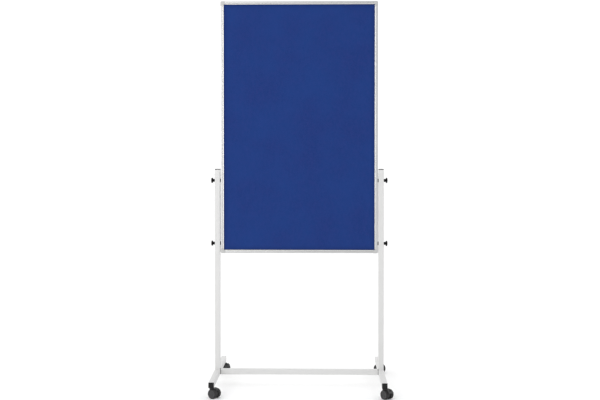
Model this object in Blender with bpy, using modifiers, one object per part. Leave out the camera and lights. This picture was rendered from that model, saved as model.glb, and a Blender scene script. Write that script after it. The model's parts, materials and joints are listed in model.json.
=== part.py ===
"""Rolling board: a felt-faced panel in an aluminium frame, held between two
square-tube posts by four clamp knobs, on two feet with four twin-wheel casters.

Metres, +Z up, -Y to the front (the felt side), origin on the floor midway
between the posts. The board is shown at the top of its travel.
"""

import math

import bmesh
import bpy
from mathutils import Matrix, Vector

# ---------------------------------------------------------------- dimensions

GAP = 0.0003                  # between pieces that touch

BOARD_WIDTH = 0.750
BOARD_HEIGHT = 1.200
BOARD_BOTTOM = 0.631          # height of the frame's lower edge, fully raised

FRAME_FACE = 0.0149           # frame width seen from the front
FRAME_DEPTH = 0.020
FRAME_ROUND = 0.0025          # radius of the frame's outer long edges
FRAME_BAND = 0.0088           # width of the flat outer band
FRAME_BEAD = 0.0050           # width of the bead beside the panel
FRAME_LINE = 0.0014           # depth of the line between band and bead
FRAME_LINE_DRAFT = 0.0002
FRAME_STEP = 0.0006           # how far the bead lies behind the outer band
SLOT_OPENING = 0.0066         # T-slot in the frame's outer side
SLOT_LIP = 0.0016
SLOT_WIDTH = 0.0116
SLOT_DEPTH = 0.0066
GROOVE_START = 0.0084         # panel groove, from here to the inner edge
CORNER_CAP_LEG = 0.0200
CORNER_CAP_PROUD = 0.0007
CORNER_CAP_CHAMFER = 0.0050
CORNER_TONGUE_LENGTH = 0.014
CORNER_TONGUE_WIDTH = 0.010
CORNER_TONGUE_THICK = 0.0040

FELT_THICK = 0.0016
CORE_THICK = 0.0094
BACK_SHEET_THICK = 0.0005
PANEL_EDGE_PLAY = 0.0004
SHEET_RELIEF = 0.0001         # how far a sheet's margin lies behind its open field

TUBE = 0.025                  # all square tube: outer size, wall, corner radius
TUBE_WALL = 0.0015
TUBE_ROUND = 0.0020

POST_GAP = 0.7570             # between the posts' inner faces
POST_TOP = 1.0295
POST_CAP_THICK = 0.0037
POST_PLUG_LENGTH = 0.012

FOOT_LENGTH = 0.600           # over the end caps
FOOT_TOP = 0.0733
FOOT_CAP_THICK = 0.0030
FOOT_PLUG_LENGTH = 0.042
PLUG_PLAY = 0.0003

CROSSBAR_FLANGE = 0.0014      # insert flange between crossbar and foot
CROSSBAR_PLUG_LENGTH = 0.024
BOLT_RADIUS = 0.0040
BOLT_HEAD_RADIUS = 0.0070
BOLT_HEAD_HEIGHT = 0.0044
BOLT_SOCKET_RADIUS = 0.0028
BOLT_SOCKET_DEPTH = 0.0025
BOLT_REACH = 0.046            # from under the head
BOLT_CHAMFER = 0.001

KNOB_HEIGHTS = (0.6770, 0.9780)
KNOB_HEAD_RADIUS = 0.0125
KNOB_HEAD_THICK = 0.0092
KNOB_HUB_RADIUS = 0.0072
KNOB_HUB_LENGTH = 0.0092
KNOB_RIM_SHARE = 0.62         # of the head's thickness, below its dome
KNOB_SHOULDER = 0.0012
KNOB_WAIST = 0.94             # of the hub's radius, under the head
KNOB_EDGE = 0.0006            # chamfers of hub, waist and stud
STUD_RADIUS = 0.0030
STUD_CLEARANCE = 0.0004
STUD_REACH = 0.0060           # into the frame, past its outer face
KNOB_LOBES = 7
SCALLOP_RADIUS = 0.0046
SCALLOP_CIRCLE = 0.0160
WASHER_RADIUS = 0.0085
NUT_SIZE = 0.0106
NUT_THICK = 0.0044

WHEEL_RADIUS = 0.0215
WHEEL_WIDTH = 0.0150
WHEEL_INNER_FACE = 0.0074     # from the caster's mid plane
WHEEL_EDGE = 0.0022           # rounding of the tread's sides
WHEEL_RIM = 0.0034            # tread thickness outside the dish
WHEEL_DISH = 0.0014           # depth of the dish
WHEEL_DISH_DRAFT = 0.0006
WHEEL_WEB = 0.0040            # left between the blind bore and the outer face
WHEEL_BORE = 0.0028
WHEEL_STEPS = 24
AXLE_RADIUS = 0.0025
AXLE_CHAMFER = 0.0004
AXLE_SHORT = 0.0045           # from the axle's end to the wheel's outer face
CASTER_INSET = 0.025          # swivel axis to the foot's end
CASTER_TRAIL = 0.016          # swivel axis to the axle
HOOD_HALF_WIDTH = 0.0070
HOOD_RADIUS = 0.0255
HOOD_WEB_RADIUS = 0.0170
FENDER_HALF_WIDTH = 0.0115
FENDER_INNER = 0.0228
FENDER_ARC = (62, 118)        # degrees above the trailing direction
HOOD_EDGE = 0.0008            # chamfer of the boss's top
SWIVEL_BOSS_RADIUS = 0.0080
SWIVEL_BOSS_BOTTOM = 0.0402
SWIVEL_BOSS_TOP = 0.0472
STEM_RADIUS = 0.0040
STEM_BORE = 0.0043
STEM_BOTTOM = 0.0320
STEM_TOP = 0.0690
STEM_CHAMFER = 0.0008
COLLAR_RADIUS = 0.0066
PEDAL_HALF_WIDTH = 0.0115
PEDAL_PIVOT_RADIUS = 0.0260   # from the axle
PEDAL_PIVOT_ANGLE = 52.0      # degrees above the trailing direction
PEDAL_LUG_RADIUS = 0.0032
PEDAL_PIN_RADIUS = 0.0014
PEDAL_FORK_GAP = 0.0075       # half of the fork's slot
PEDAL_FORK_DEPTH = 0.0090     # pivot to the slot's end
PEDAL_PIN_INSET = 0.001
PEDAL_REACH = 0.0160          # pivot to the toe's edge
PEDAL_SHOE_DROP = 0.0104      # pivot down to the brake shoe's end

# name: (side, end, heading in degrees of the trailing direction, has a brake)
CASTERS = {
    "front_left": (-1, -1, -33.0, False),
    "front_right": (1, -1, -50.0, True),
    "rear_left": (-1, 1, -60.0, True),
    "rear_right": (1, 1, -53.0, False),
}
SIDES = {"left": -1, "right": 1}
ENDS = {"front": -1, "rear": 1}
LEVELS = {"lower": KNOB_HEIGHTS[0], "upper": KNOB_HEIGHTS[1]}

# worked out from the above
POST_INNER = POST_GAP / 2
POST_OUTER = POST_INNER + TUBE
POST_CENTRE = POST_INNER + TUBE / 2
FOOT_BOTTOM = FOOT_TOP - TUBE
FOOT_LEVEL = FOOT_TOP - TUBE / 2
TUBE_BORE = TUBE - 2 * TUBE_WALL
SHARP_ANGLE = math.radians(35)
BOARD_TOP = BOARD_BOTTOM + BOARD_HEIGHT
AXLE_HEIGHT = WHEEL_RADIUS * math.cos(math.pi / WHEEL_STEPS)    # a tread flat on the floor
BOARD_EDGE = BOARD_WIDTH / 2
PANEL_STACK = FELT_THICK + CORE_THICK + BACK_SHEET_THICK + 2 * GAP
GROOVE_WIDTH = PANEL_STACK + 2 * GAP

# name: colour, roughness, metallic
FINISHES = {
    "white_paint": ((0.76, 0.76, 0.75), 0.40, 0.0),
    "silver_aluminium": ((0.66, 0.66, 0.67), 0.35, 0.9),
    "grey_plastic": ((0.45, 0.45, 0.45), 0.55, 0.0),
    "dark_plastic": ((0.06, 0.06, 0.06), 0.55, 0.0),
    "black_plastic": ((0.012, 0.012, 0.013), 0.45, 0.0),
    "wheel_grey": ((0.055, 0.055, 0.056), 0.50, 0.0),
    "blue_felt": ((0.020, 0.047, 0.209), 0.95, 0.0),
    "fibreboard": ((0.42, 0.33, 0.22), 0.90, 0.0),
    "white_lacquer": ((0.84, 0.85, 0.85), 0.12, 0.0),
    "zinc_steel": ((0.55, 0.55, 0.54), 0.35, 1.0),
}


# ------------------------------------------------------------------- helpers

def clear_scene():
    for obj in list(bpy.data.objects):
        bpy.data.objects.remove(obj, do_unlink=True)


def new_collection(name):
    collection = bpy.data.collections.new(name)
    bpy.context.scene.collection.children.link(collection)
    return collection


def make_material(name):
    colour, roughness, metallic = FINISHES[name]
    material = bpy.data.materials.get(name) or bpy.data.materials.new(name)
    material.use_nodes = True
    shader = material.node_tree.nodes["Principled BSDF"]
    shader.inputs["Base Color"].default_value = (*colour, 1.0)
    shader.inputs["Roughness"].default_value = roughness
    shader.inputs["Metallic"].default_value = metallic
    material.diffuse_color = (*colour, 1.0)
    return material


def add_object(name, bm, finish=None, location=(0, 0, 0), parent=None):
    """Turn a bmesh into a named object; without a finish it is a cutter."""
    mesh = bpy.data.meshes.new(name)
    bmesh.ops.recalc_face_normals(bm, faces=bm.faces)
    bm.to_mesh(mesh)
    bm.free()
    mesh.shade_smooth()
    mesh.set_sharp_from_angle(angle=SHARP_ANGLE)
    obj = bpy.data.objects.new(name, mesh)
    obj.location = location
    obj.parent = parent
    if finish:
        mesh.materials.append(make_material(finish))
        parts.objects.link(obj)
    else:
        obj.hide_render = True
        obj.display_type = "WIRE"
        cutters.objects.link(obj)
    return obj


def box(bm, low, high):
    """A box between two corners, from the cube primitive."""
    low, high = Vector(low), Vector(high)
    size = high - low
    matrix = Matrix.Translation((low + high) / 2) @ Matrix.Diagonal((*size, 1.0))
    return bmesh.ops.create_cube(bm, size=1.0, matrix=matrix)["verts"]


def rod(bm, start, end, radius, steps=20):
    """A closed cylinder between two points."""
    start, end = Vector(start), Vector(end)
    axis = end - start
    turn = axis.to_track_quat("Z", "Y").to_matrix().to_4x4()
    matrix = Matrix.Translation((start + end) / 2) @ turn
    return bmesh.ops.create_cone(
        bm, cap_ends=True, segments=steps, radius1=radius, radius2=radius,
        depth=axis.length, matrix=matrix)["verts"]


def arc(centre, radius, start, end, steps):
    """Points on an arc, from one angle in degrees to another."""
    angles = [math.radians(start + (end - start) * i / steps) for i in range(steps + 1)]
    return [(centre[0] + radius * math.cos(a), centre[1] + radius * math.sin(a))
            for a in angles]


def rounded_square(size, radius, steps=3):
    half = size / 2 - radius
    points = []
    for quarter in range(4):
        centre_angle = math.radians(45 + 90 * quarter)
        centre = (math.copysign(half, math.cos(centre_angle)),
                  math.copysign(half, math.sin(centre_angle)))
        points += arc(centre, radius, 90 * quarter, 90 * quarter + 90, steps)
    return points


def extrude_outline(bm, outline, to_world, length):
    """Fill a flat outline and push it along the third axis of to_world."""
    verts = [bm.verts.new(to_world @ Vector((x, y, 0))) for x, y in outline]
    face = bm.faces.new(verts)
    push = to_world.to_3x3() @ Vector((0, 0, length))
    made = bmesh.ops.extrude_face_region(bm, geom=[face])["geom"]
    bmesh.ops.translate(bm, vec=push, verts=[v for v in made if isinstance(v, bmesh.types.BMVert)])


def frame_axes(x_axis, y_axis, z_axis, origin=(0, 0, 0)):
    """A matrix whose columns are the given axes."""
    matrix = Matrix((x_axis, y_axis, z_axis)).transposed().to_4x4()
    matrix.translation = Vector(origin)
    return matrix


def cut(obj, cutter, operation="DIFFERENCE"):
    modifier = obj.modifiers.new(cutter.name, "BOOLEAN")
    modifier.operation = operation
    modifier.solver = "EXACT"
    modifier.object = cutter


def bevel(obj, width, segments=2, angle=40.0):
    modifier = obj.modifiers.new("Bevel", "BEVEL")
    modifier.width = width
    modifier.segments = segments
    modifier.limit_method = "ANGLE"
    modifier.angle_limit = math.radians(angle)


def turned(name, profile, finish, steps, location=(0, 0, 0), rotation=(0, 0, 0), parent=None):
    """A turned piece: a profile of (radius, height), top to bottom, with a Screw."""
    bm = bmesh.new()
    verts = [bm.verts.new((radius, 0, height)) for radius, height in profile]
    for first, second in zip(verts, verts[1:]):
        bm.edges.new((first, second))
    obj = add_object(name, bm, finish, location, parent)
    obj.rotation_euler = rotation
    screw = obj.modifiers.new("Screw", "SCREW")
    screw.axis = "Z"
    screw.steps = steps
    screw.render_steps = steps
    screw.use_merge_vertices = True
    screw.merge_threshold = 0.00001
    return obj


# -------------------------------------------------------------------- stand

def tube(name, finish, to_world, length):
    """A length of square tube, open at both ends, starting at to_world's origin."""
    bm = bmesh.new()
    extrude_outline(bm, rounded_square(TUBE, TUBE_ROUND), to_world, length)
    obj = add_object(name, bm, finish)
    bore = bmesh.new()
    extended = to_world @ Matrix.Translation((0, 0, -TUBE))
    bore_round = TUBE_ROUND - TUBE_WALL
    extrude_outline(bore, rounded_square(TUBE_BORE, bore_round, 1), extended, length + 2 * TUBE)
    cut(obj, add_object(name + "_bore", bore))
    return obj


def make_posts():
    for side_name, side in SIDES.items():
        name = "post_" + side_name
        base = (side * POST_CENTRE, 0, FOOT_TOP + GAP)
        axes = frame_axes((1, 0, 0), (0, 1, 0), (0, 0, 1), base)
        post = tube(name, "white_paint", axes, POST_TOP - base[2])
        holes = bmesh.new()
        for height in KNOB_HEIGHTS:
            inner = (side * (POST_INNER - TUBE), 0, height)
            outer = (side * (POST_OUTER + TUBE), 0, height)
            rod(holes, inner, outer, STUD_RADIUS + STUD_CLEARANCE)
        cut(post, add_object(name + "_holes", holes))
        make_post_cap(side_name, side)


def make_post_cap(side_name, side):
    bm = bmesh.new()
    top = frame_axes((1, 0, 0), (0, 1, 0), (0, 0, 1), (side * POST_CENTRE, 0, POST_TOP + GAP))
    extrude_outline(bm, rounded_square(TUBE, TUBE_ROUND), top, POST_CAP_THICK)
    cap = add_object("post_cap_" + side_name, bm, "black_plastic")
    bevel(cap, 0.0007, 1, 60)
    plug = bmesh.new()
    half = TUBE_BORE / 2 - PLUG_PLAY
    low = (side * POST_CENTRE - half, -half, POST_TOP - POST_PLUG_LENGTH)
    high = (side * POST_CENTRE + half, half, POST_TOP + POST_CAP_THICK / 2)
    box(plug, low, high)
    cut(cap, add_object(cap.name + "_plug", plug), "UNION")


def make_feet():
    for side_name, side in SIDES.items():
        name = "foot_" + side_name
        length = FOOT_LENGTH - 2 * (FOOT_CAP_THICK + GAP)
        start = (side * POST_CENTRE, -length / 2, FOOT_LEVEL)
        axes = frame_axes((0, 0, 1), (1, 0, 0), (0, 1, 0), start)
        foot = tube(name, "white_paint", axes, length)
        holes = bmesh.new()
        rod(holes, (side * (POST_INNER - TUBE), 0, FOOT_LEVEL),
            (side * (POST_OUTER + TUBE), 0, FOOT_LEVEL), BOLT_RADIUS + GAP)
        for end in ENDS.values():
            y = end * (FOOT_LENGTH / 2 - CASTER_INSET)
            rod(holes, (side * POST_CENTRE, y, FOOT_BOTTOM - TUBE / 2),
                (side * POST_CENTRE, y, FOOT_LEVEL), STEM_BORE)
        cut(foot, add_object(name + "_holes", holes))
        for end_name, end in ENDS.items():
            make_foot_cap(side, side_name, end, end_name)


def make_foot_cap(side, side_name, end, end_name):
    """End cap whose plug inside the tube holds the caster's swivel stem."""
    name = f"foot_cap_{end_name}_{side_name}"
    outer = end * FOOT_LENGTH / 2
    axes = frame_axes((0, 0, end), (1, 0, 0), (0, end, 0),
                      (side * POST_CENTRE, outer - end * FOOT_CAP_THICK, FOOT_LEVEL))
    bm = bmesh.new()
    extrude_outline(bm, rounded_square(TUBE, TUBE_ROUND), axes, FOOT_CAP_THICK)
    cap = add_object(name, bm, "black_plastic")
    bevel(cap, 0.0008, 1, 60)
    plug = bmesh.new()
    half = TUBE_BORE / 2 - PLUG_PLAY
    inner = outer - end * FOOT_PLUG_LENGTH
    root = outer - end * FOOT_CAP_THICK / 2
    low, high = sorted((inner, root))
    box(plug, (side * POST_CENTRE - half, low, FOOT_LEVEL - half),
        (side * POST_CENTRE + half, high, FOOT_LEVEL + half))
    cut(cap, add_object(name + "_plug", plug), "UNION")
    socket = bmesh.new()
    y = outer - end * CASTER_INSET
    rod(socket, (side * POST_CENTRE, y, FOOT_BOTTOM - TUBE / 2),
        (side * POST_CENTRE, y, STEM_TOP + GAP), STEM_BORE)
    cut(cap, add_object(name + "_socket", socket))


def make_crossbar():
    half = POST_INNER - CROSSBAR_FLANGE - 2 * GAP
    axes = frame_axes((0, 1, 0), (0, 0, 1), (1, 0, 0), (-half, 0, FOOT_LEVEL))
    tube("crossbar", "white_paint", axes, 2 * half)
    for side_name, side in SIDES.items():
        make_crossbar_insert(side_name, side)
        make_crossbar_bolt(side_name, side)


def make_crossbar_insert(side_name, side):
    flange_face = side * (POST_INNER - GAP)
    axes = frame_axes((0, side, 0), (0, 0, 1), (side, 0, 0),
                      (flange_face - side * CROSSBAR_FLANGE, 0, FOOT_LEVEL))
    bm = bmesh.new()
    extrude_outline(bm, rounded_square(TUBE, TUBE_ROUND), axes, CROSSBAR_FLANGE)
    insert = add_object("crossbar_insert_" + side_name, bm, "dark_plastic")
    plug = bmesh.new()
    half = TUBE_BORE / 2 - PLUG_PLAY
    deep = flange_face - side * CROSSBAR_PLUG_LENGTH
    root = flange_face - side * CROSSBAR_FLANGE / 2
    low, high = sorted((deep, root))
    box(plug, (low, -half, FOOT_LEVEL - half), (high, half, FOOT_LEVEL + half))
    cut(insert, add_object(insert.name + "_plug", plug), "UNION")
    bore = bmesh.new()
    rod(bore, (side * (POST_INNER - TUBE * 2), 0, FOOT_LEVEL),
        (side * POST_OUTER, 0, FOOT_LEVEL), BOLT_RADIUS + GAP)
    cut(insert, add_object(insert.name + "_bore", bore))


def make_crossbar_bolt(side_name, side):
    """Button-head bolt through the foot, its head on the outer side."""
    top = BOLT_HEAD_HEIGHT + GAP
    dome = [(BOLT_HEAD_RADIUS * math.sin(math.radians(a)),
             GAP + BOLT_HEAD_HEIGHT * math.cos(math.radians(a))) for a in (30, 60, 90)]
    profile = [(0, top), *dome, (BOLT_RADIUS, GAP),
               (BOLT_RADIUS, -BOLT_REACH + BOLT_CHAMFER),
               (BOLT_RADIUS - BOLT_CHAMFER, -BOLT_REACH), (0, -BOLT_REACH)]
    bolt = turned("crossbar_bolt_" + side_name, profile, "zinc_steel", 20,
                  (side * POST_OUTER, 0, FOOT_LEVEL), (0, side * math.pi / 2, 0))
    socket = bmesh.new()
    matrix = Matrix.Translation((side * (POST_OUTER + top), 0, FOOT_LEVEL)) \
        @ Matrix.Rotation(math.pi / 2, 4, "Y")
    bmesh.ops.create_cone(socket, cap_ends=True, segments=6, radius1=BOLT_SOCKET_RADIUS,
                          radius2=BOLT_SOCKET_RADIUS, depth=2 * BOLT_SOCKET_DEPTH, matrix=matrix)
    cut(bolt, add_object(bolt.name + "_hex", socket))


# ------------------------------------------------------------------- clamps

def make_clamps():
    for side_name, side in SIDES.items():
        for level_name, height in LEVELS.items():
            label = f"{level_name}_{side_name}"
            make_knob(label, side, height)
            make_washer(label, side, height)
            make_nut(label, side, height)


def knob_profile():
    """Domed head, waist and hub, then the moulded-in stud."""
    head_top = KNOB_HUB_LENGTH + KNOB_HEAD_THICK
    rim = KNOB_HUB_LENGTH + KNOB_HEAD_THICK * KNOB_RIM_SHARE
    dome = [(KNOB_HEAD_RADIUS * math.sin(math.radians(a)),
             rim + (head_top - rim) * math.cos(math.radians(a))) for a in (25, 45, 65, 90)]
    stud_end = TUBE + (POST_INNER - BOARD_EDGE) + STUD_REACH
    return [(0, head_top), *dome,
            (KNOB_HEAD_RADIUS - KNOB_SHOULDER, KNOB_HUB_LENGTH + KNOB_SHOULDER),
            (KNOB_HEAD_RADIUS - 2 * KNOB_SHOULDER, KNOB_HUB_LENGTH),
            (KNOB_HUB_RADIUS * KNOB_WAIST, KNOB_HUB_LENGTH - KNOB_EDGE),
            (KNOB_HUB_RADIUS, GAP + KNOB_EDGE), (KNOB_HUB_RADIUS - KNOB_EDGE, GAP),
            (STUD_RADIUS, GAP), (STUD_RADIUS, -stud_end + KNOB_EDGE),
            (STUD_RADIUS - KNOB_EDGE, -stud_end), (0, -stud_end)]


def make_knob(label, side, height):
    knob = turned("knob_" + label, knob_profile(), "black_plastic", 21,
                  (side * POST_OUTER, 0, height), (0, side * math.pi / 2, 0))
    scallops = bmesh.new()
    low = side * (POST_OUTER + KNOB_HUB_LENGTH - 0.0030)
    high = side * (POST_OUTER + KNOB_HUB_LENGTH + KNOB_HEAD_THICK + 0.002)
    for lobe in range(KNOB_LOBES):
        angle = 2 * math.pi * (lobe + 0.5) / KNOB_LOBES
        y = SCALLOP_CIRCLE * math.sin(angle)
        z = height + SCALLOP_CIRCLE * math.cos(angle)
        rod(scallops, (low, y, z), (high, y, z), SCALLOP_RADIUS, 12)
    cut(knob, add_object(knob.name + "_scallops", scallops))


def make_washer(label, side, height):
    thick = POST_INNER - BOARD_EDGE - 2 * GAP
    bore = STUD_RADIUS + STUD_CLEARANCE
    profile = [(bore, thick / 2), (WASHER_RADIUS, thick / 2), (WASHER_RADIUS, -thick / 2),
               (bore, -thick / 2), (bore, thick / 2)]
    turned("spacer_washer_" + label, profile, "dark_plastic", 24,
           (side * (POST_INNER - GAP - thick / 2), 0, height), (0, side * math.pi / 2, 0))


def make_nut(label, side, height):
    """Square nut in the T-slot of the frame's side member."""
    outer = BOARD_EDGE - SLOT_LIP - GAP
    inner = outer - NUT_THICK
    low, high = sorted((side * outer, side * inner))
    half = NUT_SIZE / 2
    bm = bmesh.new()
    box(bm, (low, -half, height - half), (high, half, height + half))
    nut = add_object("slot_nut_" + label, bm, "zinc_steel")
    bore = bmesh.new()
    rod(bore, (low - 0.002, 0, height), (high + 0.002, 0, height), STUD_RADIUS + STUD_CLEARANCE)
    cut(nut, add_object(nut.name + "_bore", bore))


# -------------------------------------------------------------------- board

def frame_section():
    """Half of the extrusion's outline on the front side, then its mirror image.

    The first coordinate runs inwards from the frame's outer side, the second
    along the depth with the front negative.
    """
    half = FRAME_DEPTH / 2
    bead_start = FRAME_FACE - FRAME_BEAD
    bead = -half + FRAME_STEP
    line = -half + FRAME_LINE
    front = [(SLOT_LIP, -SLOT_OPENING / 2), (0, -SLOT_OPENING / 2)]
    front += arc((FRAME_ROUND, FRAME_ROUND - half), FRAME_ROUND, 180, 270, 4)
    front += [(FRAME_BAND, -half), (FRAME_BAND + FRAME_LINE_DRAFT, line),
              (bead_start - FRAME_LINE_DRAFT, line), (bead_start, bead),
              (FRAME_FACE - FRAME_STEP, bead), (FRAME_FACE, bead + FRAME_STEP),
              (FRAME_FACE, -GROOVE_WIDTH / 2), (GROOVE_START, -GROOVE_WIDTH / 2)]
    chamber = [(SLOT_DEPTH, SLOT_WIDTH / 2), (SLOT_DEPTH, -SLOT_WIDTH / 2),
               (SLOT_LIP, -SLOT_WIDTH / 2)]
    rear = [(u, -v) for u, v in reversed(front)]
    rear_chamber = [(SLOT_LIP, SLOT_WIDTH / 2)]
    return front + rear + rear_chamber + chamber


def make_frame():
    """Four lengths of the same extrusion, square-cut, ending at the corner caps."""
    inset = CORNER_CAP_LEG + GAP
    run_x = BOARD_WIDTH - 2 * inset
    run_z = BOARD_HEIGHT - 2 * inset
    left, right = -BOARD_EDGE, BOARD_EDGE
    front_back = (0, 1, 0)
    members = {
        "frame_left": ((1, 0, 0), (0, 0, 1), (left, 0, BOARD_BOTTOM + inset), run_z),
        "frame_right": ((-1, 0, 0), (0, 0, 1), (right, 0, BOARD_BOTTOM + inset), run_z),
        "frame_bottom": ((0, 0, 1), (1, 0, 0), (left + inset, 0, BOARD_BOTTOM), run_x),
        "frame_top": ((0, 0, -1), (1, 0, 0), (left + inset, 0, BOARD_TOP), run_x),
    }
    for name, (inwards, along, start, length) in members.items():
        bm = bmesh.new()
        extrude_outline(bm, frame_section(), frame_axes(inwards, front_back, along, start), length)
        add_object(name, bm, "silver_aluminium")


def make_corner_caps():
    for side_name, side in SIDES.items():
        for level_name, level in (("bottom", -1), ("top", 1)):
            make_corner_cap(f"corner_cap_{level_name}_{side_name}", side, level)


def make_corner_cap(name, side, level):
    """L-shaped cap with a chamfered outer corner and a tongue into each member."""
    corner = (side * BOARD_EDGE, 0, BOARD_BOTTOM if level < 0 else BOARD_TOP)
    half = FRAME_DEPTH / 2 + CORNER_CAP_PROUD
    axes = frame_axes((-side, 0, 0), (0, 0, -level), (0, 1, 0), (corner[0], -half, corner[2]))
    proud, chamfer = -CORNER_CAP_PROUD, CORNER_CAP_CHAMFER
    leg, face = CORNER_CAP_LEG, FRAME_FACE
    outline = [(proud + chamfer, proud), (leg, proud), (leg, face), (face, face), (face, leg),
               (proud, leg), (proud, proud + chamfer)]
    bm = bmesh.new()
    extrude_outline(bm, outline, axes, 2 * half)
    cap = add_object(name, bm, "grey_plastic")
    bevel(cap, 0.0010, 2, 30)
    groove = bmesh.new()
    groove_half = GROOVE_WIDTH / 2
    flat = [(GROOVE_START, GROOVE_START), (2 * leg, GROOVE_START), (2 * leg, 2 * leg),
            (GROOVE_START, 2 * leg)]
    groove_axes = axes @ Matrix.Translation((0, 0, half - groove_half))
    extrude_outline(groove, flat, groove_axes, 2 * groove_half)
    cut(cap, add_object(name + "_groove", groove))
    middle = (SLOT_LIP + SLOT_DEPTH) / 2
    thin = CORNER_TONGUE_THICK / 2
    ends = (GROOVE_START / 2, leg + CORNER_TONGUE_LENGTH)
    tongue_axes = axes @ Matrix.Translation((0, 0, half - CORNER_TONGUE_WIDTH / 2))
    along_x = [(ends[0], middle - thin), (ends[1], middle - thin),
               (ends[1], middle + thin), (ends[0], middle + thin)]
    for index, flat in enumerate((along_x, [(y, x) for x, y in along_x])):
        tongue = bmesh.new()
        extrude_outline(tongue, flat, tongue_axes, CORNER_TONGUE_WIDTH)
        cut(cap, add_object(f"{name}_tongue_{index}", tongue), "UNION")


def board_corners(inset, y):
    """The corners of an upright rectangle set in from the board's outer edges."""
    x = BOARD_EDGE - inset
    low, high = BOARD_BOTTOM + inset, BOARD_TOP - inset
    return [Vector(point) for point in ((-x, y, low), (x, y, low), (x, y, high), (-x, y, high))]


def make_sheet(name, finish, back, front):
    """A sheet whose margin, held in the groove, lies a little behind its open field."""
    margin = front + math.copysign(SHEET_RELIEF, back - front)
    edge = GROOVE_START + PANEL_EDGE_PLAY
    field = FRAME_FACE + CORNER_CAP_PROUD + GAP
    bm = bmesh.new()
    rings = [[bm.verts.new(point) for point in board_corners(inset, y)]
             for inset, y in ((edge, back), (edge, margin), (field, margin), (field, front))]
    bm.faces.new(rings[0])
    bm.faces.new(rings[-1])
    for ring, following in zip(rings, rings[1:]):
        for i in range(len(ring)):
            j = (i + 1) % len(ring)
            bm.faces.new((ring[i], ring[j], following[j], following[i]))
    add_object(name, bm, finish)


def make_panel():
    """Felt, core and back sheet, stacked from front to back in the groove."""
    felt_front = -PANEL_STACK / 2
    felt_back = felt_front + FELT_THICK
    core_front = felt_back + GAP
    core_back = core_front + CORE_THICK
    steel_back = core_back + GAP + BACK_SHEET_THICK
    make_sheet("felt_sheet", "blue_felt", felt_back, felt_front)
    make_sheet("whiteboard_sheet", "white_lacquer", core_back + GAP, steel_back)
    edge = GROOVE_START + PANEL_EDGE_PLAY
    bm = bmesh.new()
    box(bm, board_corners(edge, core_front)[0], board_corners(edge, core_back)[2])
    add_object("core_panel", bm, "fibreboard")


# ------------------------------------------------------------------ casters
# Each caster is drawn in its own axes: origin on the floor under the swivel
# axis, X trailing, Y along the axle, Z up. Its empty turns it to its heading.

def wheel_profile():
    """Tread with rounded edges, dished outer face, hub, blind bore from inside."""
    radius, half, edge = WHEEL_RADIUS, WHEEL_WIDTH / 2, WHEEL_EDGE
    rim = radius - WHEEL_RIM
    dish = half - WHEEL_DISH
    bore_end = half - WHEEL_WEB
    return [(0, dish), (rim - WHEEL_DISH_DRAFT, dish), (rim, half), (radius - edge, half),
            (radius, half - edge), (radius, -half + edge), (radius - edge, -half),
            (WHEEL_BORE, -half), (WHEEL_BORE, bore_end), (0, bore_end)]


def make_wheel(name, pivot, sign):
    """A wheel on one side of the hood, with a flat of its tread on the floor."""
    centre = WHEEL_INNER_FACE + WHEEL_WIDTH / 2
    wheel = turned(name, wheel_profile(), "wheel_grey", WHEEL_STEPS,
                   (CASTER_TRAIL, sign * centre, AXLE_HEIGHT), parent=pivot)
    outwards = Matrix.Rotation(-sign * math.pi / 2, 3, "X")
    half_facet = Matrix.Rotation(math.pi / 2 + math.pi / WHEEL_STEPS, 3, "Z")
    wheel.rotation_euler = (outwards @ half_facet).to_euler()


def hood_outline():
    """Side view of the hood's web: rear web, fender arc, swivel boss, front web."""
    centre = (CASTER_TRAIL, AXLE_HEIGHT)
    boss = SWIVEL_BOSS_RADIUS
    edge = HOOD_EDGE
    rear_web = arc(centre, HOOD_WEB_RADIUS, -60, 34, 6)
    fender = arc(centre, HOOD_RADIUS, 46, 87, 4)
    top = [(boss, SWIVEL_BOSS_TOP - edge), (boss - edge, SWIVEL_BOSS_TOP),
           (edge - boss, SWIVEL_BOSS_TOP), (-boss, SWIVEL_BOSS_TOP - edge)]
    shoulder = [(-boss, SWIVEL_BOSS_BOTTOM - 0.0020)]
    front_web = arc(centre, HOOD_RADIUS - 0.0025, 158, 196, 3)
    low_web = arc(centre, HOOD_WEB_RADIUS, 215, 235, 2)
    return rear_web + fender + top + shoulder + front_web + low_web


def make_caster(name, side, end, heading, braked):
    pivot = bpy.data.objects.new(f"caster_{name}_pivot", None)
    pivot.location = (side * POST_CENTRE, end * (FOOT_LENGTH / 2 - CASTER_INSET), 0)
    pivot.rotation_euler = (0, 0, math.radians(heading))
    parts.objects.link(pivot)
    make_hood(name, pivot, braked)
    make_stem(name, pivot)
    make_axle(name, pivot)
    make_wheel(f"caster_{name}_wheel_inner", pivot, 1)
    make_wheel(f"caster_{name}_wheel_outer", pivot, -1)
    if braked:
        make_pedal(name, pivot)


def side_view_axes(half_width):
    """Axes that put a side-view outline upright, starting at -half_width."""
    return frame_axes((1, 0, 0), (0, 0, 1), (0, 1, 0), (0, -half_width, 0))


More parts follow.
